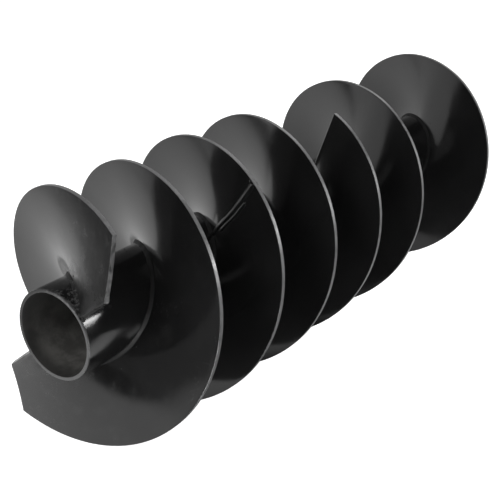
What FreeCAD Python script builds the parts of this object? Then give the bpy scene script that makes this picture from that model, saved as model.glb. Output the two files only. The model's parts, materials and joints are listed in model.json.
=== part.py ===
"""A left-hand double-start screw: two helical flights welded to a straight core tube.

The long flight runs the whole length of the tube.  The short flight starts half a turn away
from it and stops near the middle.  Each flight is a chain of equal ring sections, butt welded
end to end and fillet welded to the tube along both faces.  A keyed hub is welded in the far
end of the tube.

Frame: millimetres, +X along the screw from the open mouth of the tube to the drive end, +Z up,
origin at the centre of the open mouth.  Angles are measured about +X from +Y towards +Z.
"""
import FreeCAD, Part
import Sketcher
import os

# alias, value, what it is
DIMENSIONS = [
    ("tube_diameter", 76.1, "outside diameter of the core tube"),
    ("tube_wall", 2.9, "wall of the core tube"),
    ("tube_length", 700, "length of the core tube"),
    ("flight_diameter", 222, "outside diameter of both flights"),
    ("lead", 164, "travel of a flight along the tube in one turn"),
    ("plate_thickness", 4, "thickness of the flight plate, square to its face"),
    ("section_step", 377, "degrees from one section's start to the next"),
    ("seam_angle", 3, "degrees taken up by the butt weld between two sections"),
    ("start_angle", -38.94, "angle of the long flight's first edge"),
    ("start_spacing", 180, "degrees between the two flights"),
    ("corner_radius", 72.5, "radius at which the slanted corner of a first edge begins"),
    ("corner_angle", 20, "degrees that the slanted corner takes off the rim"),
    ("corner_reach", 40, "depth of the cut that makes the slanted corner"),
    ("weld_leg", 5, "leg of the fillet weld along the tube"),
    ("weld_delay", 18, "degrees by which the first front weld starts behind the plate's edge"),
    ("seam_cap", 1.5, "height of a butt weld above the plate on each face"),
    ("seat_diameter", 72, "bored-out seat for the hub in the drive end of the tube"),
    ("hub_length", 60, "length of the drive hub"),
    ("hub_recess", 5, "distance from the drive end of the tube to the hub's face"),
    ("bore_diameter", 40, "bore of the drive hub"),
    ("bore_chamfer", 1.5, "chamfer at the mouth of the bore"),
    ("key_width", 12, "width of the keyway"),
    ("key_depth", 3.3, "depth of the keyway beyond the bore"),
    ("hub_weld_leg", 4, "leg of the ring weld that holds the hub"),
    ("edge_break", 0.5, "broken edge at the ends of the tube"),
]

LONG_SECTIONS = 4
SHORT_SECTIONS = 2

# Sizes worked out from the driving dimensions, as expressions on the sheet.
TUBE_RADIUS = "Size.tube_diameter / 2"
INNER_RADIUS = "(Size.tube_diameter / 2 - Size.tube_wall)"
RIM_RADIUS = "Size.flight_diameter / 2"
ROOT_STRETCH = "sqrt(1 + (Size.lead / (pi * Size.tube_diameter))^2)"
RIM_STRETCH = "sqrt(1 + (Size.lead / (pi * Size.flight_diameter))^2)"
ROOT_HALF = f"(Size.plate_thickness / 2 * {ROOT_STRETCH})"
RIM_HALF = f"(Size.plate_thickness / 2 * {RIM_STRETCH})"
FLIGHT_DEPTH = f"({RIM_RADIUS} - {TUBE_RADIUS})"
TOE_RADIUS = f"({TUBE_RADIUS} + Size.weld_leg)"
TOE_HALF = f"({ROOT_HALF} + ({RIM_HALF} - {ROOT_HALF}) * Size.weld_leg / {FLIGHT_DEPTH})"
WELD_HALF = f"({ROOT_HALF} + Size.weld_leg * {ROOT_STRETCH})"
SECTION_TURNS = "(Size.section_step - Size.seam_angle) / 360"
SEAM_TURNS = "Size.seam_angle / 360"
HUB_FACE = "(Size.tube_length - Size.hub_recess)"
HUB_BACK = "(Size.tube_length - Size.hub_recess - Size.hub_length)"
SEAT_RADIUS = "Size.seat_diameter / 2"
BORE_RADIUS = "Size.bore_diameter / 2"

doc = FreeCAD.newDocument("Screw")
sheet = doc.addObject("Spreadsheet::Sheet", "Size")


def fill_sheet():
    """Write each driving dimension with its alias and its meaning."""
    for row, (alias, value, meaning) in enumerate(DIMENSIONS, start=1):
        sheet.set(f"A{row}", alias)
        sheet.set(f"B{row}", str(value))
        sheet.set(f"C{row}", meaning)
        sheet.setAlias(f"B{row}", alias)
    doc.recompute()


def new_body(name):
    """A sub-part, whose label is its file name."""
    body = doc.addObject("PartDesign::Body", name)
    body.Label = name
    return body


def origin_feature(body, role):
    """One of the body's own origin planes or axes."""
    return next(item for item in body.Origin.OriginFeatures if item.Role == role)


def new_sketch(body, name, role):
    """A sketch on one of the body's own origin planes."""
    sketch = body.newObject("Sketcher::SketchObject", name)
    sketch.AttachmentSupport = [(origin_feature(body, role), "")]
    sketch.MapMode = "FlatFace"
    return sketch


def number(expression):
    """The present value of an expression on the sheet."""
    return float(sheet.evalExpression(expression))


def place_point(sketch, line, name, across, up):
    """Hold a line's first point at two expressions, measured from the sketch's origin."""
    for axis, expression in (("DistanceX", across), ("DistanceY", up)):
        value = number(expression)
        index = sketch.addConstraint(Sketcher.Constraint(axis, -1, 1, line, 1, value))
        label = f"{name}_{axis[-1].lower()}"
        sketch.renameConstraint(index, label)
        sketch.setExpression(f"Constraints.{label}", expression)


def add_polygon(sketch, corners):
    """A closed outline through corners, each a pair of expressions."""
    points = [FreeCAD.Vector(number(across), number(up), 0) for across, up in corners]
    first = sketch.GeometryCount
    count = len(points)
    for index in range(count):
        line = Part.LineSegment(points[index], points[(index + 1) % count])
        sketch.addGeometry(line)
    for index in range(count):
        following = first + (index + 1) % count
        joint = Sketcher.Constraint("Coincident", first + index, 2, following, 1)
        sketch.addConstraint(joint)
    for index, (across, up) in enumerate(corners):
        place_point(sketch, first + index, f"corner{first + index}", across, up)


def add_circle(sketch, name, radius):
    """A circle about the sketch's origin."""
    centre = FreeCAD.Vector(0, 0, 0)
    normal = FreeCAD.Vector(0, 0, 1)
    index = sketch.addGeometry(Part.Circle(centre, normal, number(radius)))
    sketch.addConstraint(Sketcher.Constraint("Coincident", index, 3, -1, 1))
    rule = sketch.addConstraint(Sketcher.Constraint("Radius", index, number(radius)))
    sketch.renameConstraint(rule, name)
    sketch.setExpression(f"Constraints.{name}", radius)


def turn_about_axis(body, start, angle):
    """Place a body that was drawn from angle 0: slide it along +X and turn it about +X."""
    slide = f"create(<<vector>>; {start}; 0; 0)"
    turn = f"create(<<rotation>>; create(<<vector>>; 1; 0; 0); {angle})"
    body.setExpression("Placement", f"create(<<placement>>; {slide}; {turn})")


def sweep(body, corners, turns):
    """Sweep a profile, drawn in the plane through the axis, along the flight's helix."""
    profile = new_sketch(body, "profile", "XY_Plane")
    add_polygon(profile, corners)
    helix = body.newObject("PartDesign::AdditiveHelix", "helix")
    helix.Profile = profile
    helix.ReferenceAxis = (origin_feature(body, "X_Axis"), [""])
    helix.Mode = "pitch-turns-angle"
    helix.LeftHanded = True
    helix.setExpression("Pitch", "Size.lead")
    helix.setExpression("Turns", turns)
    body.Tip = helix
    return helix


def place_on_helix(body, flight_angle, travel):
    """Put a swept body where its flight has turned through travel degrees."""
    start = f"{ROOT_HALF} + Size.lead * ({travel}) / 360"
    turn_about_axis(body, start, f"{flight_angle} - ({travel})")


def cut_start_corner(body):
    """Take the slanted corner off the rim at a section's first edge."""
    sketch = new_sketch(body, "corner", "YZ_Plane")
    rim_across = f"{RIM_RADIUS} * cos(Size.corner_angle)"
    rim_down = f"-{RIM_RADIUS} * sin(Size.corner_angle)"
    past = 1.5
    corners = [
        ("Size.corner_radius", "0"),
        (f"Size.corner_radius + {past} * ({rim_across} - Size.corner_radius)", f"{past} * ({rim_down})"),
        (f"{past} * {RIM_RADIUS}", "0"),
    ]
    add_polygon(sketch, corners)
    cut = body.newObject("PartDesign::Pocket", "corner_cut")
    cut.Profile = sketch
    cut.Midplane = True
    cut.setExpression("Length", "2 * Size.corner_reach")
    body.Tip = cut


def flight_section(name, flight_angle, index):
    """One ring section of a flight."""
    body = new_body(name)
    corners = [
        (f"-{ROOT_HALF}", TUBE_RADIUS),
        (ROOT_HALF, TUBE_RADIUS),
        (RIM_HALF, RIM_RADIUS),
        (f"-{RIM_HALF}", RIM_RADIUS),
    ]
    sweep(body, corners, SECTION_TURNS)
    if index == 0:
        cut_start_corner(body)
    place_on_helix(body, flight_angle, f"{index} * Size.section_step")


def root_weld(name, flight_angle, index, side):
    """The fillet weld between one section and the tube; side is -1 in front, +1 behind."""
    body = new_body(name)
    corners = [
        (f"{side} * {ROOT_HALF}", TUBE_RADIUS),
        (f"{side} * {WELD_HALF}", TUBE_RADIUS),
        (f"{side} * {TOE_HALF}", TOE_RADIUS),
    ]
    travel = f"{index} * Size.section_step"
    turns = SECTION_TURNS
    if index == 0 and side < 0:
        travel = "Size.weld_delay"
        turns = "(Size.section_step - Size.seam_angle - Size.weld_delay) / 360"
    sweep(body, corners, turns)
    place_on_helix(body, flight_angle, travel)


def seam_weld(name, flight_angle, index):
    """The butt weld between section index and the next, with its share of both fillets."""
    body = new_body(name)
    corners = []
    for side in (-1, 1):
        half = [
            (f"{side} * {WELD_HALF}", TUBE_RADIUS),
            (f"{side} * ({TOE_HALF} + Size.seam_cap)", TOE_RADIUS),
            (f"{side} * ({RIM_HALF} + Size.seam_cap)", RIM_RADIUS),
        ]
        corners += half if side < 0 else half[::-1]
    sweep(body, corners, SEAM_TURNS)
    travel = f"{index + 1} * Size.section_step - Size.seam_angle"
    place_on_helix(body, flight_angle, travel)


def flight(prefix, flight_angle, sections):
    """A whole flight: its sections, the fillets along both faces and the seams between."""
    for index in range(sections):
        number_in_name = index + 1
        flight_section(f"{prefix}_flight_{number_in_name}", flight_angle, index)
        root_weld(f"{prefix}_root_weld_front_{number_in_name}", flight_angle, index, -1)
        root_weld(f"{prefix}_root_weld_back_{number_in_name}", flight_angle, index, 1)
        if index + 1 < sections:
            seam_weld(f"{prefix}_seam_weld_{number_in_name}", flight_angle, index)


def revolve(body, corners):
    """Turn a closed outline, drawn in the plane through the axis, about the axis."""
    outline = new_sketch(body, "outline", "XY_Plane")
    add_polygon(outline, corners)
    ring = body.newObject("PartDesign::Revolution", "ring")
    ring.Profile = outline
    ring.ReferenceAxis = (origin_feature(body, "X_Axis"), [""])
    ring.Angle = 360
    body.Tip = ring
    return ring


def core_tube():
    """The straight tube, bored out at the drive end for the hub, its sawn ends broken outside."""
    body = new_body("core_tube")
    corners = [
        ("0", INNER_RADIUS),
        (HUB_BACK, INNER_RADIUS),
        (HUB_BACK, SEAT_RADIUS),
        ("Size.tube_length", SEAT_RADIUS),
        ("Size.tube_length", TUBE_RADIUS),
        ("0", TUBE_RADIUS),
    ]
    ring = revolve(body, corners)
    doc.recompute()
    chamfer = body.newObject("PartDesign::Chamfer", "broken_edges")
    chamfer.Base = (ring, circular_edges(ring, TUBE_RADIUS))
    chamfer.setExpression("Size", "Size.edge_break")
    body.Tip = chamfer


def circular_edges(feature, radius):
    """Names of a feature's circular edges with the given radius."""
    names = []
    for index, edge in enumerate(feature.Shape.Edges, start=1):
        is_circle = hasattr(edge.Curve, "Radius")
        if is_circle and abs(edge.Curve.Radius - number(radius)) < 1e-6:
            names.append(f"Edge{index}")
    return names


def drive_hub():
    """The turned ring in the drive end, bored and keyed for the drive shaft."""
    body = new_body("drive_hub")
    sketch = new_sketch(body, "ring", "YZ_Plane")
    add_circle(sketch, "outside", SEAT_RADIUS)
    add_circle(sketch, "inside", BORE_RADIUS)
    pad = body.newObject("PartDesign::Pad", "pad")
    pad.Profile = sketch
    pad.setExpression("Length", "Size.hub_length")
    doc.recompute()
    chamfer = body.newObject("PartDesign::Chamfer", "bore_mouths")
    chamfer.Base = (pad, circular_edges(pad, BORE_RADIUS))
    chamfer.setExpression("Size", "Size.bore_chamfer")
    keyway = new_sketch(body, "keyway", "YZ_Plane")
    half_width = "Size.key_width / 2"
    top = f"({BORE_RADIUS} + Size.key_depth)"
    corners = [
        (f"-{half_width}", "0"),
        (half_width, "0"),
        (half_width, top),
        (f"-{half_width}", top),
    ]
    add_polygon(keyway, corners)
    cut = body.newObject("PartDesign::Pocket", "keyway_cut")
    cut.Profile = keyway
    cut.Reversed = True
    cut.setExpression("Length", "Size.hub_length")
    body.Tip = cut
    turn_about_axis(body, HUB_BACK, "0")


def hub_weld():
    """The ring weld in the corner between the hub's face and the tube."""
    corners = [
        (HUB_FACE, SEAT_RADIUS),
        (f"{HUB_FACE} + Size.hub_weld_leg", SEAT_RADIUS),
        (HUB_FACE, f"{SEAT_RADIUS} - Size.hub_weld_leg"),
    ]
    revolve(new_body("hub_weld"), corners)


def check_and_export():
    """Stop on any failed feature or bad solid, then write one STEP file per sub-part."""
    doc.recompute()
    for item in doc.Objects:
        if "Invalid" in item.State or "Error" in item.State:
            raise RuntimeError(f"{item.Name} failed: {item.State}")
    bodies = [item for item in doc.Objects if item.TypeId == "PartDesign::Body"]
    for body in bodies:
        shape = body.Shape
        if shape.isNull() or not shape.isValid() or len(shape.Solids) != 1:
            raise RuntimeError(f"{body.Label} is not one valid solid")
    os.makedirs("parts", exist_ok=True)
    for body in bodies:
        body.Shape.exportStep(os.path.join("parts", f"{body.Label}.step"))
        box = body.Shape.BoundBox
        print(f"{body.Label}: {body.Shape.Volume:.0f} mm3, x {box.XMin:.2f} to {box.XMax:.2f}")


fill_sheet()
core_tube()
flight("long", "Size.start_angle", LONG_SECTIONS)
flight("short", "(Size.start_angle + Size.start_spacing)", SHORT_SECTIONS)
drive_hub()
hub_weld()
check_and_export()
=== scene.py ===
"""Looks of a welded double-start screw in gloss black paint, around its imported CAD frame.

Metres, +X along the screw from its open mouth, +Z up.  Angles are in degrees about +X, from +Y
towards +Z.  A flight is followed by its travel: the degrees turned since its nominal first edge.
"""

import json
import math
import random

import bmesh
import bpy
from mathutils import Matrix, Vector, noise


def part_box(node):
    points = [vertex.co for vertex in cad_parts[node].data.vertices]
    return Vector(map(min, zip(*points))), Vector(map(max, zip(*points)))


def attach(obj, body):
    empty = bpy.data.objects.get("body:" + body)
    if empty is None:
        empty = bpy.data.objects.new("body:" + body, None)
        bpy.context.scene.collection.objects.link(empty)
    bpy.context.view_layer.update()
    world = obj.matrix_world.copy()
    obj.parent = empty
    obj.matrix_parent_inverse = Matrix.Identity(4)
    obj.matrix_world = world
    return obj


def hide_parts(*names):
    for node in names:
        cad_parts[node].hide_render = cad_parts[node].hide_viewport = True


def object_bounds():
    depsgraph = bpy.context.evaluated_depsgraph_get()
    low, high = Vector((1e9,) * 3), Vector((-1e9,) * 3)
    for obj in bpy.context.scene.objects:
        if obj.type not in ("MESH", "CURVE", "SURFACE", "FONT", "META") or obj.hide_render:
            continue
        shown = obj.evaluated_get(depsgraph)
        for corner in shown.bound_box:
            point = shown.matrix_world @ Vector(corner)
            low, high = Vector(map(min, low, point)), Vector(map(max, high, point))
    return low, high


MM = 0.001

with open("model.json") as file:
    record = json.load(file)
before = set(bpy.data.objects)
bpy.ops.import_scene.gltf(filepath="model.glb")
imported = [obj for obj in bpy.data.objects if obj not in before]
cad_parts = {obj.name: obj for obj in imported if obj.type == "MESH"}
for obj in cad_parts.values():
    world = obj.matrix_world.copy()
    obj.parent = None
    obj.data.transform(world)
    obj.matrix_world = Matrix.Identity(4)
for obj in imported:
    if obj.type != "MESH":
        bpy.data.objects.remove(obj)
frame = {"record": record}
cad_low, cad_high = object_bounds()

# ---------------------------------------------------------------- sizes, from the frame
tube_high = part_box("core_tube")[1]
rim_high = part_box("long_flight_2")[1]
hub_low, hub_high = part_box("drive_hub")
mounts = {mount["name"]: mount for mount in frame["record"]["mounts"]}

TUBE_RADIUS = tube_high.y
TUBE_END = tube_high.x
RIM_RADIUS = rim_high.y
HUB_RADIUS = hub_high.y
INNER_RADIUS = mounts["mouth_bore"]["dims"]["r_mm"] * MM
BORE_RADIUS = mounts["drive_bore"]["dims"]["r_mm"] * MM

# ---------------------------------------------------------------- sizes that the frame doesn't name
LEAD = 164 * MM
PLATE = 4 * MM
SECTION_STEP = 377
SEAM_ANGLE = 3
LONG_START = -38.94
SHORT_START = LONG_START + 180
CORNER_RADIUS = 71.5 * MM
BEAD_ON_TUBE = 3.1 * MM
BEAD_ON_PLATE = 2.2 * MM
KEY_WIDTH = 12 * MM
KEY_DEPTH = 3.3 * MM


def stretch(radius):
    """How much longer the plate is along the axis than square to its face, at a radius."""
    return math.sqrt(1 + (LEAD / (2 * math.pi * radius)) ** 2)


ROOT_HALF = PLATE / 2 * stretch(TUBE_RADIUS)
RIM_HALF = PLATE / 2 * stretch(RIM_RADIUS)


def half_thickness(radius):
    """Half the plate's thickness along the axis, at a radius."""
    share = (radius - TUBE_RADIUS) / (RIM_RADIUS - TUBE_RADIUS)
    return ROOT_HALF + (RIM_HALF - ROOT_HALF) * share


def around(x, radius, angle):
    """The point at x along the screw, at a radius and an angle."""
    turn = math.radians(angle)
    return Vector((x, radius * math.cos(turn), radius * math.sin(turn)))


def helix_x(travel):
    """Where the middle of a flight's plate is along the screw."""
    return ROOT_HALF + LEAD * travel / 360


def steps(start, end, count):
    """count + 1 evenly spaced values from start to end."""
    return [start + (end - start) * index / count for index in range(count + 1)]


def smooth_step(value):
    """0 below 0, 1 above 1, smooth between."""
    clamped = min(max(value, 0.0), 1.0)
    return clamped * clamped * (3 - 2 * clamped)


def wobble(position, scale, seed):
    """Smooth noise from -1 to 1 that changes over about scale metres."""
    return noise.noise(position / scale + Vector((seed, 2.3 * seed, -1.7 * seed)))


# ---------------------------------------------------------------- mesh helpers
class Shell:
    """Vertices and faces collected for one mesh."""

    def __init__(self):
        self.points = []
        self.faces = []

    def ring(self, points):
        """Add a ring of points and return their indices."""
        first = len(self.points)
        self.points.extend(points)
        return list(range(first, len(self.points)))

    def strip(self, one, other):
        """Join two rings of the same length with quads."""
        count = len(one)
        for index in range(count):
            following = (index + 1) % count
            self.faces.append((one[index], one[following], other[following], other[index]))

    def loft(self, rows):
        """Join rings one after another."""
        for one, other in zip(rows, rows[1:]):
            self.strip(one, other)

    def face(self, indices):
        """Add one face."""
        self.faces.append(tuple(indices))

    def add(self, other):
        """Take in another shell."""
        first = len(self.points)
        self.points.extend(other.points)
        self.faces.extend(tuple(first + index for index in face) for face in other.faces)


PLATE_CREASE = 42
HUB_CREASE = 25
NO_CREASE = 180


def build(name, shell, crease, material, node):
    """Make the object of a shell, shade it sharp past the crease angle, and let it stand for its node."""
    mesh = bpy.data.meshes.new(name)
    mesh.from_pydata([tuple(point) for point in shell.points], [], shell.faces)
    mesh.validate()
    mesh.update()
    obj = bpy.data.objects.new(name, mesh)
    bpy.context.scene.collection.objects.link(obj)
    face_outwards(mesh)
    mesh.shade_smooth()
    mesh.set_sharp_from_angle(angle=math.radians(crease))
    if crease < NO_CREASE:
        weighted = obj.modifiers.new("even_shading", "WEIGHTED_NORMAL")
        weighted.mode = "FACE_AREA"
        weighted.keep_sharp = True
    mesh.materials.append(material)
    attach(obj, "root")
    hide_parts(node)
    return obj


def face_outwards(mesh):
    """Turn every face of a closed mesh outwards."""
    work = bmesh.new()
    work.from_mesh(mesh)
    bmesh.ops.recalc_face_normals(work, faces=work.faces)
    work.to_mesh(mesh)
    work.free()


# ---------------------------------------------------------------- materials
class Nodes:
    """Short names for building a material's node tree."""

    def __init__(self, name):
        self.material = bpy.data.materials.new(name)
        self.material.use_nodes = True
        self.tree = self.material.node_tree
        self.shader = self.tree.nodes["Principled BSDF"]
        coordinates = self.tree.nodes.new("ShaderNodeTexCoord")
        self.place = coordinates.outputs["Object"]
        self.facing = coordinates.outputs["Normal"]

    def join(self, source, target):
        """Link an output, or set a plain value, on an input."""
        if isinstance(source, bpy.types.NodeSocket):
            self.tree.links.new(source, target)
        else:
            target.default_value = source

    def surface(self, colour, roughness, relief):
        """Give the shader its colour, roughness and relief, and return the material."""
        self.join(colour, self.shader.inputs["Base Color"])
        self.join(roughness, self.shader.inputs["Roughness"])
        self.join(relief, self.shader.inputs["Normal"])
        return self.material

    def noise(self, scale, detail=2.0, roughness=0.5, place=None):
        """Fractal noise; scale is in features per metre."""
        node = self.tree.nodes.new("ShaderNodeTexNoise")
        node.inputs["Scale"].default_value = scale
        node.inputs["Detail"].default_value = detail
        node.inputs["Roughness"].default_value = roughness
        self.join(place or self.place, node.inputs["Vector"])
        return node.outputs["Fac"]

    def cells(self, scale):
        """Distance to the nearest of scattered points; scale is in points per metre."""
        node = self.tree.nodes.new("ShaderNodeTexVoronoi")
        node.inputs["Scale"].default_value = scale
        self.join(self.place, node.inputs["Vector"])
        return node.outputs["Distance"]

    def ramp(self, source, low, high, low_value=0.0, high_value=1.0):
        """Map a range smoothly onto another."""
        node = self.tree.nodes.new("ShaderNodeMapRange")
        node.interpolation_type = "SMOOTHSTEP"
        self.join(source, node.inputs["Value"])
        node.inputs["From Min"].default_value = low
        node.inputs["From Max"].default_value = high
        node.inputs["To Min"].default_value = low_value
        node.inputs["To Max"].default_value = high_value
        return node.outputs["Result"]

    def maths(self, operation, one, two=0.0):
        """One arithmetic step."""
        node = self.tree.nodes.new("ShaderNodeMath")
        node.operation = operation
        self.join(one, node.inputs[0])
        self.join(two, node.inputs[1])
        return node.outputs[0]

    def product(self, first, *others):
        """Several values multiplied together."""
        for other in others:
            first = self.maths("MULTIPLY", first, other)
        return first

    def plus(self, base, extra, amount=1.0):
        """A value with an amount of another added."""
        return self.maths("ADD", base, self.maths("MULTIPLY", extra, amount))

    def blend(self, factor, one, two):
        """Mix two colours; the mix node's colour sockets are picked by number, as their names repeat."""
        node = self.tree.nodes.new("ShaderNodeMix")
        node.data_type = "RGBA"
        self.join(factor, node.inputs[0])
        self.join(one, node.inputs[6])
        self.join(two, node.inputs[7])
        return node.outputs[2]

    def axis(self, name, vector=None):
        """One coordinate of the place, or of another vector: "X", "Y" or "Z"."""
        split = self.tree.nodes.new("ShaderNodeSeparateXYZ")
        self.join(vector or self.place, split.inputs[0])
        return split.outputs[name]

    def scaled(self, x, y, z):
        """The place, stretched differently along each axis."""
        node = self.tree.nodes.new("ShaderNodeMapping")
        self.join(self.place, node.inputs["Vector"])
        node.inputs["Scale"].default_value = (x, y, z)
        return node.outputs["Vector"]

    def weighted(self, one, one_weight, two, two_weight):
        """The sum of two values, each times its weight."""
        return self.plus(self.maths("MULTIPLY", one, one_weight), two, two_weight)

    def length(self, one, two):
        """The length of the hypotenuse over two sides."""
        return self.maths("SQRT", self.plus(self.maths("MULTIPLY", one, one), two, two))

    def radius(self):
        """Distance from the screw's axis."""
        return self.length(self.axis("Y"), self.axis("Z"))

    def facing_out(self):
        """How squarely the surface faces away from the screw's axis: 1 on a rim, 0 on a plate's face."""
        across = self.maths("MULTIPLY", self.axis("Y"), self.axis("Y", self.facing))
        outwards = self.plus(across, self.axis("Z"), self.axis("Z", self.facing))
        return self.maths("DIVIDE", outwards, self.radius())

    def near_mouth(self, full, gone, rest=0.0):
        """1 as far from the mouth as full, and only rest from gone onwards."""
        return self.ramp(self.axis("X"), full, gone, 1.0, rest)

    def bump(self, height, distance, below=None):
        """Surface relief of up to distance metres."""
        node = self.tree.nodes.new("ShaderNodeBump")
        node.inputs["Strength"].default_value = 1.0
        node.inputs["Distance"].default_value = distance
        self.join(height, node.inputs["Height"])
        if below is not None:
            self.join(below, node.inputs["Normal"])
        return node.outputs["Normal"]


BLACK = (0.0068, 0.0068, 0.0069, 1.0)
SOOT = (0.0100, 0.0100, 0.0101, 1.0)
HAZE = (0.012, 0.012, 0.0118, 1.0)
DUST = (0.10, 0.10, 0.10, 1.0)
SCALE = (0.018, 0.0175, 0.017, 1.0)
# Grey of the dust in the bore, which also carries the painted light on the bore's lower side.
LIT_GREY_DUST = (0.13, 0.127, 0.12, 1.0)
# Lighter grey for edges: rubbed paint at the mouth; on rims and cut corners, rubbed paint with a painted
# highlight.
EDGE_GREY = (0.12, 0.12, 0.122, 1.0)
DARK_STEEL = (0.30, 0.29, 0.28, 1.0)
BRIGHT_STEEL = (0.46, 0.45, 0.43, 1.0)

GLOSS_IOR = 1.5
WELD_IOR = 1.42
WELD_SHINE = 0.25
HAZE_SPAN = (50 * MM, 160 * MM, 0.12)


def enamel(nodes, patches):
    """Black paint with faintly greyer patches, so many to the metre."""
    return nodes.blend(nodes.ramp(nodes.noise(patches, 4), 0.35, 0.7), BLACK, SOOT)


def uneven_gloss(nodes, smooth, dull):
    """Roughness that drifts slowly between two values."""
    return nodes.ramp(nodes.noise(30, 5, 0.6), 0.3, 0.7, smooth, dull)


def orange_peel(nodes):
    """The fine ripple of sprayed enamel."""
    return nodes.bump(nodes.noise(260, 2), 0.006 * MM)


def haze_runs(nodes):
    """Long streaks of dull haze, strongest near the mouth."""
    streaks = nodes.noise(1, 5, 0.6, nodes.scaled(60, 60, 14))
    return nodes.product(nodes.ramp(streaks, 0.50, 0.75), nodes.near_mouth(*HAZE_SPAN))


def dust_specks(nodes):
    """Patches of small dry specks, mostly near the mouth."""
    specks = nodes.ramp(nodes.cells(330), 0.10, 0.16, 1.0, 0.0)
    patches = nodes.ramp(nodes.noise(22, 2), 0.50, 0.70)
    return nodes.product(specks, patches, nodes.near_mouth(*HAZE_SPAN))


def scuffs(nodes):
    """Fine scuffing, mostly on the plates' first stretch."""
    marks = nodes.ramp(nodes.noise(75, 7, 0.75), 0.50, 0.66)
    return nodes.product(marks, nodes.near_mouth(18 * MM, 60 * MM, 0.05))


def grime(nodes):
    """Blotches of dull dirt near the roots of the plates, beside the mouth."""
    at_root = nodes.ramp(nodes.radius(), 42 * MM, 72 * MM, 1.0, 0.0)
    blotches = nodes.ramp(nodes.noise(60, 5, 0.65), 0.35, 0.6, 0.35, 1.0)
    return nodes.product(at_root, nodes.near_mouth(14 * MM, 34 * MM), blotches)


def rubbed_and_lit_edges(nodes, flights):
    """How much lighter grey goes on the edges: along the rims, and in patches on the slanted first
    corners; partly rubbed-off paint, partly painted highlight.
    """
    # Rims get lighter grey: rubbed paint, with a painted highlight for the light they catch.
    outermost = nodes.ramp(nodes.radius(), RIM_RADIUS - 2.4 * MM, RIM_RADIUS - 1.8 * MM, 0.0, 0.8)
    rubbed_and_lit = nodes.product(nodes.ramp(nodes.facing_out(), 0.35, 0.75), outermost)
    patches = nodes.ramp(nodes.noise(190, 3), 0.35, 0.6, 0.25, 0.75)
    # Cut first corners get lighter grey in patches: rubbed paint, with painted light from above.
    first_corner = nodes.near_mouth(16 * MM, 20 * MM)
    for flight in flights:
        near_end = around(0, CORNER_RADIUS, flight.angle - flight.begin)
        far_end = around(0, RIM_RADIUS, flight.angle - flight.corner)
        out = (far_end - near_end).cross(Vector((1, 0, 0))).normalized()
        if out.dot(near_end) < 0:
            out.negate()
        edge = out.dot(near_end)
        depth = nodes.weighted(nodes.axis("Y"), out.y, nodes.axis("Z"), out.z)
        cut = nodes.ramp(depth, edge - 1.0 * MM, edge - 0.7 * MM)
        rubbed_and_lit = nodes.maths("MAXIMUM", rubbed_and_lit, nodes.product(cut, first_corner, patches))
    return nodes.product(rubbed_and_lit, nodes.ramp(nodes.noise(160, 4, 0.7), 0.25, 0.6, 0.5, 1.0))


def flight_finish(name, flights):
    """Gloss black enamel: hazy, specked and scuffed near the mouth; lighter grey along rims and cut
    corners, partly rubbed paint and partly painted highlight.
    """
    nodes = Nodes(name)
    haze = haze_runs(nodes)
    dust = dust_specks(nodes)
    scuff = scuffs(nodes)
    worn_and_lit = rubbed_and_lit_edges(nodes, flights)
    colour = nodes.blend(haze, enamel(nodes, 14), HAZE)
    colour = nodes.blend(nodes.maths("MULTIPLY", dust, 0.5), colour, DUST)
    colour = nodes.blend(nodes.maths("MULTIPLY", scuff, 0.10), colour, DUST)
    # Lighter grey on rims and cut corners: partly rubbed paint, partly painted highlight.
    colour = nodes.blend(worn_and_lit, colour, EDGE_GREY)
    roughness = nodes.plus(uneven_gloss(nodes, 0.09, 0.16), haze, 0.08)
    roughness = nodes.plus(roughness, scuff, 0.15)
    roughness = nodes.plus(roughness, grime(nodes), 0.45)
    roughness = nodes.plus(roughness, worn_and_lit, 0.42)
    nodes.shader.inputs["IOR"].default_value = GLOSS_IOR
    return nodes.surface(colour, roughness, nodes.bump(dust, 0.02 * MM, orange_peel(nodes)))


def bore_dust_and_light(nodes):
    """Grey dust in the bore, thinner at the very mouth, and laid on thickest low down as painted light on
    the bore's lower side.
    """
    blotches = nodes.ramp(nodes.noise(45, 5, 0.65), 0.35, 0.65)
    # Thicker low down: painted light on the bore's lower side.
    lit_low_down = nodes.ramp(nodes.axis("Z"), -25 * MM, 22 * MM, 1.0, 0.1)
    inside = nodes.ramp(nodes.axis("X"), 3 * MM, 22 * MM, 0.25, 1.15)
    return nodes.product(nodes.plus(0.4, blotches, 0.6), lit_low_down, inside)


def tube_dirt(nodes):
    """Crusted dirt on top of the tube, between its mouth and the first plate."""
    beside = nodes.ramp(nodes.maths("ADD", nodes.axis("X"), nodes.axis("Y")), -6 * MM, 12 * MM, 1.0, 0.0)
    on_top = nodes.ramp(nodes.axis("Z"), 19 * MM, 26 * MM)
    crust = nodes.ramp(nodes.noise(210, 6, 0.75), 0.46, 0.66)
    return nodes.product(beside, on_top, crust)


def rubbed_mouth(nodes):
    """The edge of the mouth, rubbed most towards -Y and downwards."""
    side = nodes.weighted(nodes.axis("Y"), -0.9, nodes.axis("Z"), -0.35)
    strength = nodes.ramp(side, -26 * MM, 8 * MM, 0.0, 0.38)
    return nodes.product(strength, nodes.near_mouth(2.0 * MM, 2.4 * MM))


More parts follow.
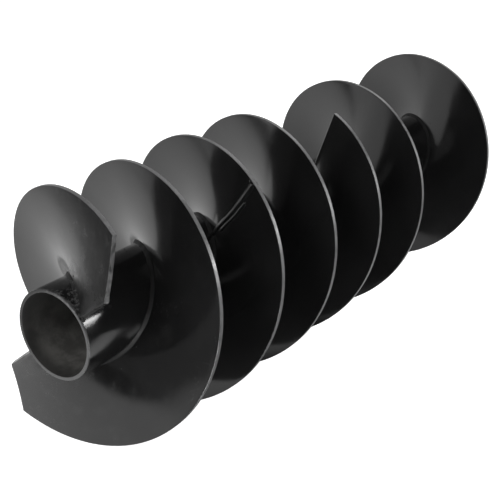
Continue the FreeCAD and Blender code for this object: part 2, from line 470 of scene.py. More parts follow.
def tube_finish(name):
    """Gloss enamel outside, dirty at the mouth; inside, bare scaly pipe with dry grey dust, thickest low
    down as painted light.
    """
    nodes = Nodes(name)
    bare = nodes.ramp(nodes.radius(), INNER_RADIUS + 0.05 * MM, INNER_RADIUS + 0.4 * MM, 1.0, 0.0)
    paint = nodes.blend(tube_dirt(nodes), enamel(nodes, 14), DUST)
    paint = nodes.blend(rubbed_mouth(nodes), paint, EDGE_GREY)
    # Inside: scale under grey dust, heaviest low down as painted light.
    colour = nodes.blend(bare, paint, nodes.blend(bore_dust_and_light(nodes), SCALE, LIT_GREY_DUST))
    roughness = nodes.plus(uneven_gloss(nodes, 0.10, 0.18), bare, 0.42)
    pitting = nodes.product(nodes.noise(500, 4, 0.65), bare)
    return nodes.surface(colour, roughness, nodes.bump(pitting, 0.12 * MM, orange_peel(nodes)))


def weld_paint(name):
    """The same enamel over weld metal: duller and pitted, with dry grey dirt at the mouth."""
    nodes = Nodes(name)
    crust = nodes.ramp(nodes.noise(420, 5, 0.7), 0.45, 0.68)
    dirt = nodes.product(crust, nodes.near_mouth(20 * MM, 42 * MM))
    colour = nodes.blend(nodes.maths("MULTIPLY", dirt, 0.9), enamel(nodes, 120), DUST)
    dull = nodes.ramp(nodes.noise(220, 4, 0.6), 0.3, 0.7, 0.50, 0.66)
    glossier_outwards = nodes.ramp(nodes.radius(), 44 * MM, 50 * MM, 1.0, 0.24)
    roughness = nodes.plus(nodes.product(dull, glossier_outwards), dirt, 0.4)
    pits = nodes.bump(nodes.noise(500, 3, 0.6), 0.04 * MM)
    nodes.shader.inputs["IOR"].default_value = WELD_IOR
    nodes.shader.inputs["Specular IOR Level"].default_value = WELD_SHINE
    return nodes.surface(colour, roughness, nodes.bump(dirt, 0.25 * MM, pits))


def hub_steel(name):
    """Painted face, bare oiled bore with fine turning marks."""
    nodes = Nodes(name)
    bare = nodes.ramp(nodes.radius(), BORE_RADIUS + 3.6 * MM, BORE_RADIUS + 4.0 * MM, 1.0, 0.0)
    steel = nodes.blend(nodes.noise(90, 4), DARK_STEEL, BRIGHT_STEEL)
    roughness = nodes.ramp(nodes.noise(140, 4), 0.3, 0.7, 0.22, 0.38)
    turning = nodes.bump(nodes.noise(300, 3), 0.02 * MM)
    nodes.join(bare, nodes.shader.inputs["Metallic"])
    return nodes.surface(nodes.blend(bare, BLACK, steel), roughness, turning)


# ---------------------------------------------------------------- flights
def humps(travel, places):
    """The sum of smooth humps: (size, travel, spread)."""
    return sum(size * math.exp(-(((travel - centre) / spread) ** 2)) for size, centre, spread in places)


class Flight:
    """One flight as it was really made: pulled rings, welded on by eye.

    begin and corner are the travels of its first edge and of the far end of its slanted first
    corner.  lead_in is how far its plate stands ahead of a true helix on average, and waves are
    the slow swings about that: (size, length as degrees of travel, phase).  pulls and bulges are
    shorter lengths where it stands ahead or where its rim stands out, and leans are where its root
    is pulled along the screw against its rim, by a slope: (size, travel, spread).
    """

    def __init__(self, name, angle, sections, seed, begin, corner, lead_in, waves, pulls, bulges, leans):
        self.name = name
        self.angle = angle
        self.sections = sections
        self.seed = seed
        self.begin = begin
        self.corner = corner
        self.lead_in = lead_in
        self.waves = waves
        self.pulls = pulls
        self.bulges = bulges
        self.leans = leans

    def drift(self, travel):
        """How far the plate stands along the screw from a true helix."""
        total = self.lead_in
        for size, length, phase in self.waves:
            total += size * math.sin(2 * math.pi * travel / length + math.radians(phase))
        return total + humps(travel, self.pulls)

    def rim(self, travel):
        """The rim's radius, as cut."""
        return RIM_RADIUS + humps(travel, self.bulges)

    def middle(self, travel, radius=TUBE_RADIUS):
        """Where the middle of the plate is along the screw, with its waves and dents."""
        lean = humps(travel, self.leans) * (radius - RIM_RADIUS)
        return helix_x(travel) + self.drift(travel) + lean + self.dent(travel, radius)

    def dent(self, travel, radius):
        """Gentle unevenness of the pressed plate, more towards the rim."""
        share = (radius - TUBE_RADIUS) / (RIM_RADIUS - TUBE_RADIUS)
        where = Vector((travel * 0.9, radius * 1000 * 0.35, self.seed * 31.0))
        slow = noise.noise(where / 38)
        quick = noise.noise(where / 15 + Vector((9, 3, 1)))
        return (0.36 * slow + 0.10 * quick) * MM * (0.1 + share)

    def face_x(self, travel, radius, side):
        """Where one face of the plate is along the screw; side is -1 in front, +1 behind."""
        return self.middle(travel, radius) + side * half_thickness(radius)

    def section_span(self, index):
        """The travels of a section's two ends."""
        start = self.begin if index == 0 else index * SECTION_STEP - SEAM_ANGLE / 2
        last = index == self.sections - 1
        end = (index + 1) * SECTION_STEP - (SEAM_ANGLE if last else SEAM_ANGLE / 2)
        return start, end


LONG = Flight(
    "long", LONG_START, 4, 1.0, begin=-0.6, corner=19.8, lead_in=1.2 * MM,
    waves=((1.0 * MM, 660, -144), (1.85 * MM, 820, 111)),
    pulls=((-0.5 * MM, 245, 60), (0.85 * MM, 375, 60), (0.5 * MM, 460, 60), (-0.3 * MM, 635, 60),
           (0.95 * MM, 840, 70), (1.0 * MM, 1115, 90), (-0.7 * MM, 1285, 55)),
    bulges=((-0.9 * MM, 231, 45), (0.45 * MM, 480, 60), (0.4 * MM, 760, 360), (0.65 * MM, 840, 70),
            (0.45 * MM, 1260, 110)),
    leans=((-0.035, 190, 75),),
)
SHORT = Flight(
    "short", SHORT_START, 2, 2.0, begin=-1.7, corner=18.6, lead_in=0.5 * MM,
    waves=((2.0 * MM, 740, 32), (0.9 * MM, 500, -150)),
    pulls=((1.4 * MM, 35, 85), (0.6 * MM, 112, 30), (0.6 * MM, 330, 70), (-0.6 * MM, 500, 120)),
    bulges=((0.85 * MM, 430, 90),),
    leans=((0.02, 35, 70), (-0.015, 400, 60)),
)

CORNER_ROUND = 0.45 * MM
RADIAL_STEPS = 26
ROUND_STEPS = 3
END_ROUND = 0.3
END_STEPS = (0.0, 0.12, 0.3, 0.7)
CORNER_RINGS = 84
SECTION_RINGS = 340
CUT_REACH = 4.0


def plate_profile(outer, jitter):
    """Points round the plate's section: (radius, side of the middle plane from -1 to 1)."""
    inner = TUBE_RADIUS - 0.2 * MM
    body_end = outer - CORNER_ROUND
    radii = steps(inner, body_end, RADIAL_STEPS)
    half = half_thickness(outer)
    front = [(radius, -1.0) for radius in radii]
    rounding = []
    for index in range(1, ROUND_STEPS + 1):
        turn = math.pi / 2 * index / ROUND_STEPS
        radius = body_end + CORNER_ROUND * math.sin(turn)
        side = 1 - CORNER_ROUND / half * (1 - math.cos(turn))
        rounding.append((radius, side))
    rim = [(radius + jitter, -side) for radius, side in rounding]
    rim += [(radius + jitter, side) for radius, side in reversed(rounding)]
    back = [(radius, 1.0) for radius in reversed(radii)]
    return front + rim + back


def corner_rim(flight, travel):
    """Rim radius while the slanted first corner runs from the start edge out to the full rim."""
    end = math.radians(flight.corner - flight.begin)
    along_x = RIM_RADIUS * math.cos(end) - CORNER_RADIUS
    along_y = RIM_RADIUS * math.sin(end)
    turn = math.radians(travel - flight.begin)
    return CORNER_RADIUS * along_y / (along_y * math.cos(turn) - along_x * math.sin(turn))


def section_travels(flight, start, end, first):
    """Where the rings of a section lie: close together at its ends and at a cut corner."""
    near = [start + value for value in END_STEPS]
    far = [end - value for value in reversed(END_STEPS)]
    middle_start = start + 1.0
    middle = []
    if first:
        middle += steps(middle_start, flight.corner + 1, CORNER_RINGS)[:-1]
        middle_start = flight.corner + 1
    middle += steps(middle_start, end - 1.0, SECTION_RINGS)
    return near + middle + far


def square_cut(radius, side, from_end):
    """Extra travel at a sawn end, which is square to the plate and not to the screw's turn."""
    lean = math.atan(LEAD / (2 * math.pi * radius))
    shift = math.degrees(PLATE / 2 * math.sin(lean) / radius)
    return -side * shift * (1 - smooth_step(from_end / CUT_REACH))


def flight_plate(flight, index, material):
    """One ring section of a flight, a closed solid with broken edges."""
    first = index == 0
    start, end = flight.section_span(index)
    free_end = index == flight.sections - 1
    shell = Shell()
    rows = []
    for travel in section_travels(flight, start, end, first):
        nibble = abs(noise.noise(Vector((travel / 40, flight.seed * 7, 5))))
        outer = flight.rim(travel) - 0.15 * MM * nibble
        jitter = 0.0
        if first and travel < flight.corner:
            outer = min(outer, corner_rim(flight, travel))
            jitter = flame_cut(travel, flight.seed)
        from_end = min(travel - start, end - travel)
        squeeze = 1.0
        if from_end < END_ROUND:
            squeeze = 1 - CORNER_ROUND / ROOT_HALF * (1 - math.sqrt(from_end / END_ROUND))
        ring = []
        for radius, side in plate_profile(outer, jitter):
            x = flight.middle(travel, radius) + side * squeeze * half_thickness(radius)
            cut_travel = travel
            if first:
                cut_travel += square_cut(radius, side, travel - start)
            if free_end:
                cut_travel += square_cut(radius, side, end - travel)
            ring.append(around(max(x, 0.0), radius, flight.angle - cut_travel))
        rows.append(shell.ring(ring))
    shell.loft(rows)
    count = len(rows[0])
    for row in (rows[0], rows[-1]):
        for low in range(count // 2 - 1):
            high = count - 1 - low
            shell.face((row[low], row[low + 1], row[high - 1], row[high]))
    node = f"{flight.name}_flight_{index + 1}"
    return build(node + "_plate", shell, PLATE_CREASE, material, node)


def flame_cut(travel, seed):
    """Roughness of the torch-cut slanted edge, in and out along the radius."""
    mark = Vector((travel * 2.2, seed, 0))
    return (0.45 * noise.noise(mark * 2) + 0.3 * noise.noise(mark * 7)) * MM


# ---------------------------------------------------------------- welds
MOUTH = 0.9 * MM
RIPPLE_PITCH = 2.1 * MM
BEAD_ACROSS = 15
SECOND_RUN = (50 * MM, 93 * MM)


def bead_noise(distance, rate, seed, channel):
    """Unevenness along a bead, about -1 to 1; it changes rate times a metre, apart for each channel."""
    return noise.noise(Vector((distance * rate, seed, channel)))


def two_runs(share):
    """Height across a fillet laid in two runs, from 0 at the toes to 1, with a faint groove."""
    return 0.8 * math.sin(math.pi * share) ** 0.8 + 0.2 * (1 - math.cos(4 * math.pi * share)) / 2


def one_run(share):
    """Height across a single run of weld, from 0 at its toes to 1."""
    return math.sin(math.pi * share)


def bead_row(toe, foot, out, bulge, ripple, inward, arch):
    """Points across a bead, from one toe to the other, then back underneath it."""
    row = []
    for index in range(BEAD_ACROSS):
        share = index / (BEAD_ACROSS - 1)
        edge = math.sin(math.pi * share) ** 0.5
        row.append(toe.lerp(foot, share) + out * (bulge * arch(share) + ripple * edge))
    row.append(foot + inward)
    row.append(toe + inward)
    return row


def ripple_height(distance, seed):
    """Height of the overlapping crescents left by the weld pool, about -1 to 1."""
    phase = distance / RIPPLE_PITCH + 0.6 * bead_noise(distance, 90, seed, 0)
    part = phase - math.floor(phase)
    strength = 0.55 + 0.45 * bead_noise(distance, 45, seed, 2)
    return ((1 - (1 - part) ** 2) * 2 - 1.3) * strength


def root_bead(flight, index, side, seed, material):
    """The fillet weld along one face of a section; side is -1 in front and +1 behind."""
    start, end = flight.section_span(index)
    shell = Shell()
    rows = []
    arc_per_degree = math.radians(1) * math.hypot(TUBE_RADIUS, LEAD / (2 * math.pi))
    for travel in steps(start, end, int((end - start) / 0.5)):
        distance = travel * arc_per_degree
        spread = 1 + 0.30 * bead_noise(distance, 70, seed, 1)
        spread += 0.14 * bead_noise(distance, 210, seed, 6)
        lift = 1 + 0.22 * bead_noise(distance, 75, seed, 4)
        swell = 1 + 0.5 * bead_noise(distance, 120, seed, 9)
        taper = min(travel - start, end - travel) * arc_per_degree / (3 * MM)
        taper = 0.35 + 0.65 * smooth_step(taper)
        along = BEAD_ON_TUBE * spread * taper
        up = BEAD_ON_PLATE * lift * taper
        corner = flight.face_x(travel, TUBE_RADIUS, side)
        if side < 0:
            along = min(along, max(corner - MOUTH - 0.25 * MM, 0.3 * MM))
        angle = flight.angle - travel
        toe = around(corner + side * along, TUBE_RADIUS - 0.05 * MM, angle)
        plate_x = flight.face_x(travel, TUBE_RADIUS + up, side) - side * 0.05 * MM
        foot = around(plate_x, TUBE_RADIUS + up, angle)
        slope = Vector((up, along)).normalized()
        outward = around(side * slope.x, slope.y, angle)
        inner = around(corner - side * 0.4 * MM, TUBE_RADIUS - 0.4 * MM, angle)
        inward = (inner - toe.lerp(foot, 0.5)) * 0.25
        ripple = 0.03 * MM * ripple_height(distance, seed) * taper
        bulge = 0.12 * MM * taper * swell
        rows.append(shell.ring(bead_row(toe, foot, outward, bulge, ripple, inward, two_runs)))
    shell.loft(rows)
    shell.face(rows[0])
    shell.face(reversed(rows[-1]))
    shell.add(spatter(flight, start, end, side, seed))
    if index == 0 and side < 0:
        shell.add(end_wrap(flight, start, seed))
    word = "front" if side < 0 else "back"
    node = f"{flight.name}_root_weld_{word}_{index + 1}"
    return build(node + "_bead", shell, NO_CREASE, material, node)


def end_wrap(flight, start, seed):
    """Weld that joins the two root beads round the first end of the plate."""
    shell = Shell()
    rows = []
    half = half_thickness(TUBE_RADIUS)
    for share in steps(-1.25, 1.25, 24):
        x = flight.middle(start) + share * half
        if x < MOUTH + 0.2 * MM:
            continue
        rough = 1 + 0.3 * bead_noise(share, 3.1, seed, 3)
        reach = 3.6 * MM * rough * math.sqrt(max(1 - (share / 1.35) ** 2, 0.05))
        angle = flight.angle - start
        toe = around(x, TUBE_RADIUS - 0.05 * MM, angle + math.degrees(reach / TUBE_RADIUS))
        foot = around(x, TUBE_RADIUS + reach * 0.8, angle - 0.6)
        outward = around(0, 1, angle + 48)
        inward = (around(x, TUBE_RADIUS - 0.4 * MM, angle - 1.5) - toe.lerp(foot, 0.5)) * 0.25
        rows.append(shell.ring(bead_row(toe, foot, outward, 0.3 * MM * rough, 0.0, inward, one_run)))
    shell.loft(rows)
    shell.face(rows[0])
    shell.face(reversed(rows[-1]))
    return shell


def droplet(centre, normal, size, shell):
    """A flattened drop of spatter that sits on a surface."""
    side = normal.cross(Vector((0.31, 0.87, 0.39))).normalized()
    other = normal.cross(side)
    rows = []
    count = 8
    for height, width in ((-0.3, 1.0), (0.12, 0.98), (0.45, 0.72), (0.62, 0.34)):
        ring = []
        for index in range(count):
            turn = 2 * math.pi * index / count
            flat = side * math.cos(turn) + other * math.sin(turn)
            ring.append(centre + (flat * width + normal * height) * size)
        rows.append(shell.ring(ring))
    shell.loft(rows)
    shell.face(rows[-1])
    shell.face(reversed(rows[0]))


def spatter(flight, start, end, side, seed):
    """Small drops thrown on to the tube and the plate beside a bead."""
    chance = random.Random(int(seed * 101 + flight.seed * 7))
    shell = Shell()
    for _ in range(int((end - start) / 26)):
        travel = chance.uniform(start + 6, end - 6)
        angle = flight.angle - travel
        size = chance.uniform(0.25, 0.65) * MM
        if chance.random() < 0.5:
            reach = BEAD_ON_TUBE + chance.expovariate(1 / (7 * MM)) + 2 * MM
            x = flight.face_x(travel, TUBE_RADIUS, side) + side * reach
            if x < MOUTH + 3 * MM or x > TUBE_END - 3 * MM:
                continue
            droplet(around(x, TUBE_RADIUS, angle), around(0, 1, angle), size, shell)
        else:
            radius = TUBE_RADIUS + BEAD_ON_PLATE + 2 * MM + chance.expovariate(1 / (8 * MM))
            if radius > CORNER_RADIUS:
                continue
            point = around(flight.face_x(travel, radius, side), radius, angle)
            droplet(point, plate_normal(radius, angle, side), size, shell)
    return shell


def plate_normal(radius, angle, side):
    """The direction square to the plate's face on one side."""
    lean = LEAD / (2 * math.pi * radius)
    turn = math.radians(angle)
    tangent = Vector((0, -math.sin(turn), math.cos(turn)))
    return (Vector((1, 0, 0)) + tangent * lean).normalized() * side


def seam_bead(flight, index, seed, material):
    """The butt weld across the plate between two sections, on both faces and over the rim."""
    shell = Shell()
    middle = (index + 1) * SECTION_STEP - SEAM_ANGLE / 2
    first_run = (TUBE_RADIUS + 2 * MM, flight.rim(middle) - 0.4 * MM)
    for side in (-1, 1):
        shell.add(seam_run(flight, middle, side, seed, first_run, -0.4 * MM, 2.5 * MM))
        shell.add(seam_run(flight, middle, side, seed + 3, SECOND_RUN, -4.6 * MM, 2.1 * MM))
    shell.add(rim_lump(flight, middle, seed))
    node = f"{flight.name}_seam_weld_{index + 1}"
    return build(node + "_bead", shell, NO_CREASE, material, node)


def seam_run(flight, middle, side, seed, span, beside, half_width):
    """One run of a butt weld over a span of radii, a little askew, beside the seam's middle."""
    low, high = span
    shell = Shell()
    rows = []
    for radius in steps(low, high, 150):
        width = half_width * (1 + 0.22 * bead_noise(radius, 130, seed, side))
        width *= 0.3 + 0.7 * smooth_step(min(radius - low, high - radius) / (3 * MM))
        askew = (1.0 - 3.8 * smooth_step((radius - 45 * MM) / (40 * MM))) * MM
        sway = askew + beside + 0.5 * MM * bead_noise(radius, 55, seed + 5, side)
        ripple = 0.14 * MM * ripple_height(radius, seed)
        near_rim = smooth_step((radius - flight.rim(middle) + 5 * MM) / (5 * MM))
        lift = (0.9 + 0.3 * bead_noise(radius, 90, seed, 8) + 0.5 * near_rim) * MM
        ring = []
        for step in range(BEAD_ACROSS):
            share = step / (BEAD_ACROSS - 1)
            travel = middle + math.degrees(((share * 2 - 1) * width + sway) / radius)
            edge = math.sin(math.pi * share) ** 0.5
            height = lift * one_run(share) + ripple * edge - 0.08 * MM
            x = flight.face_x(travel, radius, side) + side * height
            ring.append(around(x, radius, flight.angle - travel))
        for share in (1, -1):
            travel = middle + math.degrees((share * width * 0.9 + sway) / radius)
            x = flight.face_x(travel, radius, side) - side * 0.6 * MM
            ring.append(around(x, radius, flight.angle - travel))
        rows.append(shell.ring(ring))
    shell.loft(rows)
    shell.face(rows[0])
    shell.face(reversed(rows[-1]))
    return shell


def rim_lump(flight, middle, seed):
    """The weld's rounded end, wrapped over the edge of the plate."""
    rim = flight.rim(middle)
    shell = Shell()
    rows = []
    count = 18
    for share in steps(-1, 1, 12):
        spread = math.sqrt(max(1 - share * share, 0.02))
        ring = []
        for index in range(count):
            turn = 2 * math.pi * index / count
            across = math.cos(turn) * spread * 3.1 * MM
            travel = middle + math.degrees(across / rim)
            height = math.sin(turn) * spread
            rough = 1 + 0.2 * noise.noise(Vector((share * 3, math.cos(turn) * 2, seed)))
            radius = rim - 1.7 * MM + height * 1.65 * MM * rough
            x = flight.middle(travel, radius) + share * (RIM_HALF + 0.9 * MM) * rough
            ring.append(around(x, min(radius, rim + 0.2 * MM), flight.angle - travel))
        rows.append(shell.ring(ring))
    shell.loft(rows)
    shell.face(rows[0])
    shell.face(reversed(rows[-1]))
    return shell


# ---------------------------------------------------------------- tube and hub
TUBE_SIDES = 192
HUB_SIDES = 144
HUB_BEAD_SIDES = 420
HUB_LEG = 4 * MM
KEY_ANGLE = 90


def turned(outline, sides, roughen):
    """A closed ring: the outline (x, radius) turned about the axis, with each radius roughened."""
    shell = Shell()
    rows = []
    for x, radius in outline:
        ring = []
        for index in range(sides):
            angle = 360 * index / sides
            ring.append(around(x, radius + roughen(x, radius, angle), angle))
        rows.append(shell.ring(ring))
    shell.loft(rows + [rows[0]])
    return shell


def rounded_corner(x, radius, size, start):
    """Arc points (x, radius) round an outside corner, from angle start, counted in quarters."""
    points = []
    for share in steps(0, 1, 3):
        turn = math.pi / 2 * (start + share)
        points.append((x + size * math.cos(turn), radius + size * math.sin(turn)))
    return points


def core_tube(material):
    """The open tube: long outside, rounded sawn ends, scaly inside, stepped out for the hub."""
    size = 0.5 * MM
    outside = [(x, TUBE_RADIUS) for x in steps(MOUTH + size * 3, TUBE_END - size * 3, 90)]
    far = rounded_corner(TUBE_END - size, TUBE_RADIUS - size, size, 0)
    near = rounded_corner(MOUTH + size, TUBE_RADIUS - size, size, 1)
    inner = [(x, INNER_RADIUS) for x in steps(hub_low.x, MOUTH + size, 70)]
    inner = inner[::-1]
    lip = [(MOUTH, INNER_RADIUS + size), (MOUTH + size * 0.3, INNER_RADIUS + size * 0.3)]
    seat = [(hub_low.x, HUB_RADIUS), (TUBE_END - size, HUB_RADIUS), (TUBE_END, HUB_RADIUS + size)]
    outline = lip + inner + seat + far + outside[::-1] + near

    def scale_marks(x, radius, angle):
        """Scaly unevenness inside, slower and fainter outside."""
        if radius < INNER_RADIUS + 0.1 * MM:
            return 0.12 * MM * wobble(around(x, radius, angle), 9 * MM, 3)
        return 0.05 * MM * wobble(around(x, radius, angle), 30 * MM, 6)

    shell = turned(outline, TUBE_SIDES, scale_marks)
    return build("core_tube_shell", shell, PLATE_CREASE, material, "core_tube")


def drive_hub(material):
    """The bored hub with its keyway."""
    chamfer = 1.5 * MM
    shell = Shell()
    half_key = math.degrees(math.asin(KEY_WIDTH / 2 / BORE_RADIUS))

    def bore_ring(x, radius, outer):
        """A ring about the axis; one that isn't the outer side steps out into the keyway."""
        ring = []
        for index in range(HUB_SIDES):
            angle = KEY_ANGLE - 180 + 360 * (index + 0.5) / HUB_SIDES
            away = abs((angle - KEY_ANGLE + 180) % 360 - 180)
            reach = radius
            if not outer and away < half_key:
                depth = BORE_RADIUS + KEY_DEPTH
                reach = max(radius, depth / math.cos(math.radians(away)))
            ring.append(around(x, reach, angle))
        return shell.ring(ring)

    low, high = hub_low.x, hub_high.x
    rows = [
        bore_ring(low, HUB_RADIUS, True),
        bore_ring(high, HUB_RADIUS, True),
        bore_ring(high, BORE_RADIUS + chamfer, False),
        bore_ring(high - chamfer, BORE_RADIUS, False),
        bore_ring(low + chamfer, BORE_RADIUS, False),
        bore_ring(low, BORE_RADIUS + chamfer, False),
    ]
    shell.loft(rows + [rows[0]])
    return build("drive_hub_turned", shell, HUB_CREASE, material, "drive_hub")


def hub_bead(material):
    """The ring weld between the hub's face and the tube."""
    shell = Shell()
    rows = []
    length = 2 * math.pi * HUB_RADIUS
    pitch = length / round(length / RIPPLE_PITCH)
    for index in range(HUB_BEAD_SIDES):
        angle = 360 * index / HUB_BEAD_SIDES
        distance = math.radians(angle) * HUB_RADIUS
        leg = HUB_LEG * (1 + 0.12 * noise.noise(around(0, 2, angle)))
        toe = around(hub_high.x + leg, HUB_RADIUS + 0.03 * MM, angle)
        foot = around(hub_high.x - 0.03 * MM, HUB_RADIUS - leg, angle)
        outward = around(0.7, -0.7, angle)
        inner = around(hub_high.x - 0.3 * MM, HUB_RADIUS + 0.3 * MM, angle)
        inward = (inner - toe.lerp(foot, 0.5)) * 0.25
        part = (distance / pitch) % 1
        ripple = 0.15 * MM * ((1 - (1 - part) ** 2) * 2 - 1.3)
        rows.append(shell.ring(bead_row(toe, foot, outward, 0.4 * MM, ripple, inward, one_run)))
    shell.loft(rows + [rows[0]])
    return build("hub_weld_bead", shell, NO_CREASE, material, "hub_weld")


# ---------------------------------------------------------------- assembly
def make_flight(flight, plate_material, bead_material):
    """A whole flight: plates, the beads along both faces and the seams."""
    for index in range(flight.sections):
        number = index + 1
        flight_plate(flight, index, plate_material)
        for side in (-1, 1):
            root_bead(flight, index, side, flight.seed * 10 + number * 2 + side, bead_material)
        if number < flight.sections:
            seam_bead(flight, index, flight.seed * 5 + number, bead_material)


flight_paint = flight_finish("flight_paint", (LONG, SHORT))
tube_paint = tube_finish("tube_paint")
bead_paint = weld_paint("bead_paint")
hub_metal = hub_steel("hub_metal")

make_flight(LONG, flight_paint, bead_paint)
make_flight(SHORT, flight_paint, bead_paint)
core_tube(tube_paint)
drive_hub(hub_metal)
hub_bead(bead_paint)


# ---------------------------------------------------------------- studio
def direction(azimuth, elevation):
    """Unit vector at an azimuth from +X towards +Y and an elevation, in degrees."""
    turn, rise = math.radians(azimuth), math.radians(elevation)
    return Vector((math.cos(rise) * math.cos(turn), math.cos(rise) * math.sin(turn), math.sin(rise)))


def aim(obj, place, target):
    """Put an object somewhere, facing a target along its -Z."""
    obj.location = place
    obj.rotation_mode = "QUATERNION"
    obj.rotation_quaternion = (target - place).to_track_quat("-Z", "Y")


LENS = 71.9
SENSOR = 36.0
CAMERA_TARGET = Vector((0.2589, 0.0, -0.0184))
CAMERA_AZIMUTH = 180 + 35.91
CAMERA_ELEVATION = 23.30
CAMERA_DISTANCE = 0.9677


def make_camera():
    """A short telephoto, ahead of the mouth, off to its -Y side and a little above."""
    data = bpy.data.cameras.new("camera")
    data.lens = LENS
    data.sensor_width = SENSOR
    camera = bpy.data.objects.new("camera", data)
    bpy.context.scene.collection.objects.link(camera)
    away = direction(CAMERA_AZIMUTH, CAMERA_ELEVATION)
    aim(camera, CAMERA_TARGET + away * CAMERA_DISTANCE, CAMERA_TARGET)
    bpy.context.scene.camera = camera


def sheet(name, corners, material):
    """A flat sheet of the studio, which isn't part of the object."""
    mesh = bpy.data.meshes.new(name)
    mesh.from_pydata(corners, [], [tuple(range(len(corners)))])
    mesh.materials.append(material)
    obj = bpy.data.objects.new(name, mesh)
    bpy.context.scene.collection.objects.link(obj)
    return obj


def level_sheet(name, reach, height, material):
    """A square level sheet about the origin."""
    around_origin = ((-reach, -reach), (reach, -reach), (reach, reach), (-reach, reach))
    return sheet(name, [(x, y, height) for x, y in around_origin], material)


def upright_sheet(name, start, end, place, low, high, material):
    """An upright sheet along X at one Y."""
    outline = ((start, low), (end, low), (end, high), (start, high))
    return sheet(name, [(x, place, z) for x, z in outline], material)


def reflections_only(obj):
    """Keep a sheet out of everything but mirror reflections."""
    obj.visible_camera = False
    obj.visible_diffuse = False
    obj.visible_shadow = False
    obj.visible_transmission = False
    obj.visible_volume_scatter = False


def floor_material():
    """White paper that glows a little, so that shadows stay soft and pale."""
    nodes = Nodes("floor_paper")
    tone = nodes.blend(nodes.noise(3, 2), (0.86, 0.86, 0.86, 1), (0.9, 0.9, 0.9, 1))
    nodes.join(tone, nodes.shader.inputs["Base Color"])
    nodes.shader.inputs["Roughness"].default_value = 0.9
    nodes.shader.inputs["Specular IOR Level"].default_value = 0.0
    nodes.shader.inputs["Emission Color"].default_value = (1, 1, 1, 1)
    nodes.shader.inputs["Emission Strength"].default_value = 0.85
    return nodes.material


ROOM_GLOW = 0.22
PAPER_GLOW = 0.55
HOT_GLOW = 0.60
EDGE_GLOW = 0.85
WALL_GLOW = 0.90
CARD_GLOW = 22.0
FAINT_CARD_GLOW = 10.0
FLOOR_REACH = 6
WALL_PLACE = 0.8
BACKDROP_PLACE = 1.5
SIDE_CARD_PLACE = 0.4


def glowing(nodes, glow):
    """A surface that only shines, with a strength."""
    nodes.shader.inputs["Base Color"].default_value = (0, 0, 0, 1)
    nodes.shader.inputs["Specular IOR Level"].default_value = 0.0
    nodes.shader.inputs["Emission Color"].default_value = (1, 1, 1, 1)
    nodes.join(glow, nodes.shader.inputs["Emission Strength"])
    return nodes.material


def hot_spot(nodes, x, y, inner, outer):
    """1 near a spot on the paper, 0 far from it."""
    across = nodes.maths("SUBTRACT", nodes.axis("X"), x)
    along = nodes.maths("SUBTRACT", nodes.axis("Y"), y)
    return nodes.ramp(nodes.length(across, along), inner, outer, 1.0, 0.0)


def lit_paper():
    """How the paper looks in reflections: bright beside the screw, dark to its left and in front."""
    nodes = Nodes("lit_paper")
    x, y = nodes.axis("X"), nodes.axis("Y")
    left = nodes.ramp(nodes.weighted(x, 0.79, y, -0.61), -0.51, -0.33)
    corner = nodes.ramp(nodes.weighted(x, 0.447, y, 0.894), -0.112, -0.065)
    front = nodes.ramp(nodes.weighted(x, -0.3, y, 1.0), -0.115, -0.06)
    behind = hot_spot(nodes, 0.33, 0.56, 0.10, 0.50)
    at_mouth = hot_spot(nodes, -0.08, 0.03, 0.08, 0.33)
    full = nodes.plus(PAPER_GLOW, nodes.maths("ADD", behind, at_mouth), HOT_GLOW)
    unlit = nodes.ramp(y, -0.05, 0.10, 0.05, ROOM_GLOW)
    glow = nodes.plus(unlit, nodes.product(left, corner, front), full)
    edge = nodes.maths("MULTIPLY", hot_spot(nodes, 0.45, -0.06, 0.05, 0.30), EDGE_GLOW)
    return glowing(nodes, nodes.maths("MAXIMUM", glow, edge))


def lit_cards():
    """Two small bright cards low down beside the mouth, which the tube mirrors twice over."""
    glow = glowing(Nodes("lit_card"), CARD_GLOW)
    faint = glowing(Nodes("faint_card"), FAINT_CARD_GLOW)
    low = cad_low.z
    tall = ((-0.027, low), (0.008, low), (0.021, -0.05), (0.020, 0.000), (-0.003, 0.000))
    small = ((-0.045, -0.016), (-0.025, -0.016), (-0.025, 0.033), (-0.045, 0.028))
    return [
        sheet("studio_card", [card_corner(*place) for place in tall], glow),
        sheet("studio_small_card", [card_corner(*place) for place in small], faint),
    ]


def card_corner(along, height):
    """A place on the upright plane where the small cards stand."""
    foot = Vector((0.055, -0.075, 0)) + direction(-130, 0) * 0.085 + direction(-40, 0) * along
    return (foot.x, foot.y, height)


def lit_wall():
    """The upright paper behind the screw: brightest at its foot, fading out at its left edge."""
    nodes = Nodes("lit_wall")
    foot = nodes.ramp(nodes.axis("Z"), cad_low.z, 0.02, 0.45, 0.0)
    edge = nodes.ramp(nodes.axis("X"), -0.42, -0.26)
    full = nodes.maths("ADD", foot, WALL_GLOW - ROOM_GLOW)
    return glowing(nodes, nodes.plus(ROOM_GLOW, edge, full))


def lit_side_card():
    """A grey card behind the screw on its left, brighter towards its right edge and its foot."""
    nodes = Nodes("side_card")
    right = nodes.ramp(nodes.axis("X"), -0.14, 0.02, 0.2, 1.0)
    foot = nodes.ramp(nodes.axis("Z"), -0.05, -0.02, 0.5, 0.2)
    return glowing(nodes, nodes.maths("MAXIMUM", right, foot))


def lit_backdrop():
    """White paper hung far behind, brightest low down."""
    nodes = Nodes("backdrop_paper")
    return glowing(nodes, nodes.ramp(nodes.axis("Z"), 0.1, 1.4, 0.95, 0.35))


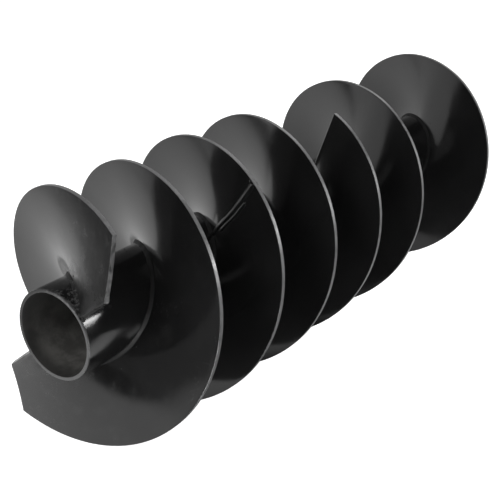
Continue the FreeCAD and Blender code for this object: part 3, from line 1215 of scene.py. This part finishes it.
def softbox(name, place, target, size, radiance):
    """A soft panel light, with its brightness as seen, aimed at a point."""
    data = bpy.data.lights.new(name, "AREA")
    data.shape = "RECTANGLE"
    data.size, data.size_y = size
    data.energy = radiance * math.pi * size[0] * size[1]
    light = bpy.data.objects.new(name, data)
    bpy.context.scene.collection.objects.link(light)
    aim(light, place, target)
    light.visible_camera = False
    return light


def room():
    """A dim room round the paper, which the camera sees as plain white."""
    world = bpy.data.worlds.new("room")
    bpy.context.scene.world = world
    world.use_nodes = True
    tree = world.node_tree
    background = tree.nodes["Background"]
    path = tree.nodes.new("ShaderNodeLightPath")
    glow = tree.nodes.new("ShaderNodeMapRange")
    glow.inputs["To Min"].default_value = ROOM_GLOW
    glow.inputs["To Max"].default_value = 1.0
    tree.links.new(path.outputs["Is Camera Ray"], glow.inputs["Value"])
    tree.links.new(glow.outputs["Result"], background.inputs["Strength"])
    background.inputs["Color"].default_value = (1, 1, 1, 1)


def make_studio():
    """White paper floor in a dim room, with soft panels above, beside and behind."""
    low = cad_low.z
    middle = Vector((0.2, 0.0, 0.0))
    floor = level_sheet("studio_floor", FLOOR_REACH, low, floor_material())
    floor.visible_glossy = False
    unseen = [
        level_sheet("studio_paper", FLOOR_REACH, low + 0.5 * MM, lit_paper()),
        upright_sheet("studio_wall", -0.45, 1.4, WALL_PLACE, low, 0.55, lit_wall()),
        upright_sheet("studio_backdrop", 0.3, 4.5, BACKDROP_PLACE, low, 1.6, lit_backdrop()),
        upright_sheet("studio_side_card", -0.35, 0.0, SIDE_CARD_PLACE, -0.05, 0.05, lit_side_card()),
    ]
    for obj in unseen + lit_cards():
        reflections_only(obj)
    room()
    softbox("overhead", middle + direction(20, 84) * 1.5, middle, (1.4, 1.4), 0.6)
    softbox("key", middle + direction(-48, 19) * 1.3, middle, (0.38, 0.30), 31.0)
    softbox("rim_panel", middle + direction(12, 36) * 1.6, middle, (0.7, 0.5), 3.4)
    fill = softbox("fill", direction(180, 45) * 1.2, Vector((0, 0, 0)), (0.5, 0.5), 9.0)
    fill.visible_glossy = False
    bpy.context.scene.view_settings.view_transform = "Standard"


make_camera()
make_studio()
